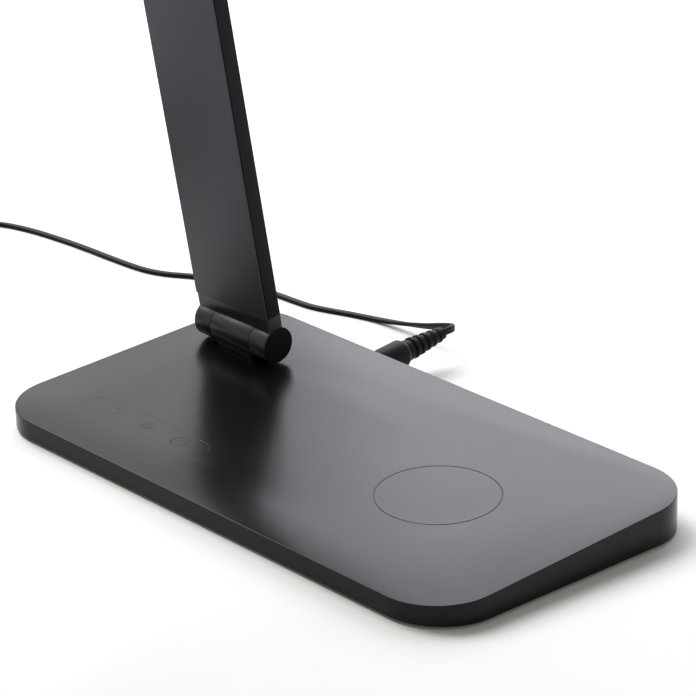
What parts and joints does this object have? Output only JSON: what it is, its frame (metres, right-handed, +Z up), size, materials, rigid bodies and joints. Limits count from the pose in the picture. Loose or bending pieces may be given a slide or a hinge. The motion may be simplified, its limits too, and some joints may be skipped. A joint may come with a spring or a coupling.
{
  "type": "desk lamp",
  "caption": "Folding LED desk lamp: flat wedge base with a charging spot and touch panel, slim hinged arm, tilting bar head and a plug-in lead.",
  "frame": {"origin": "centre of the rest pad's underside, on the table", "axes": "+X along the base's long side, to the user's right; +Y away from the user, to the wall with the power jack; +Z up"},
  "size_m": [0.3589, 0.3981, 0.3539],
  "materials": {
    "textured_black_plastic": "fine moulded texture, satin black",
    "anodised_black_aluminium": "black anodised, satin",
    "black_coated_zinc": "satin black powder coat",
    "zinc_plated_steel": "bright zinc plate",
    "black_silicone": "matte",
    "black_pvc": "satin moulded",
    "enamelled_copper": "enamelled wire",
    "ferrite": "sintered, matte",
    "circuit_board": "green solder mask",
    "white_led_board": "white solder mask",
    "white_plastic": "matte white",
    "opal_acrylic": "frosted opal",
    "friction_bronze": "bare",
    "nickel_plate": "bright nickel"
  },
  "bodies": {
    "base": {"base_cover": "textured_black_plastic", "base_plate": "zinc_plated_steel", "rest_pad": "black_silicone", "plate_screws": "zinc_plated_steel", "ballast_plate": "zinc_plated_steel", "charge_coil": "enamelled_copper", "coil_shield": "ferrite", "main_board": "circuit_board", "touch_board": "circuit_board", "dc_jack": "textured_black_plastic", "hinge_post": "black_coated_zinc", "post_screws": "zinc_plated_steel", "lower_discs": "friction_bronze", "dc_plug": "black_pvc", "plug_barrel": "nickel_plate", "strain_relief": "black_pvc", "cord_run": "black_pvc", "cord_coil": "black_pvc", "cord_tie": "black_pvc", "cord_tail": "black_pvc", "adaptor_relief": "black_pvc", "adaptor_case": "textured_black_plastic", "adaptor_face": "textured_black_plastic", "adaptor_blades": "nickel_plate"},
    "arm": {"lower_yoke": "black_coated_zinc", "lower_pin": "zinc_plated_steel", "lower_nut": "zinc_plated_steel", "lower_springs": "zinc_plated_steel", "lower_caps": "textured_black_plastic", "arm_channel": "anodised_black_aluminium", "arm_front": "anodised_black_aluminium", "arm_lead": "black_pvc", "yoke_screws": "zinc_plated_steel", "upper_yoke": "black_coated_zinc", "upper_pin": "zinc_plated_steel", "upper_nut": "zinc_plated_steel", "upper_springs": "zinc_plated_steel", "upper_caps": "textured_black_plastic"},
    "head": {"head_tongue": "black_coated_zinc", "upper_discs": "friction_bronze", "head_shell": "textured_black_plastic", "led_board": "white_led_board", "reflector": "white_plastic", "diffuser": "opal_acrylic", "head_screws": "zinc_plated_steel"}
  },
  "joints": [
    {"name": "arm_tilt", "type": "hinge", "parent": "base", "child": "arm", "pos_m": [-0.0725, 0.0266, 0.0183], "axis": [1, 0, 0], "range_deg": [-35, 45]},
    {"name": "head_tilt", "type": "hinge", "parent": "arm", "child": "head", "pos_m": [-0.0725, -0.04015, 0.34148], "axis": [1, 0, 0], "range_deg": [-75, 100]}
  ]
}
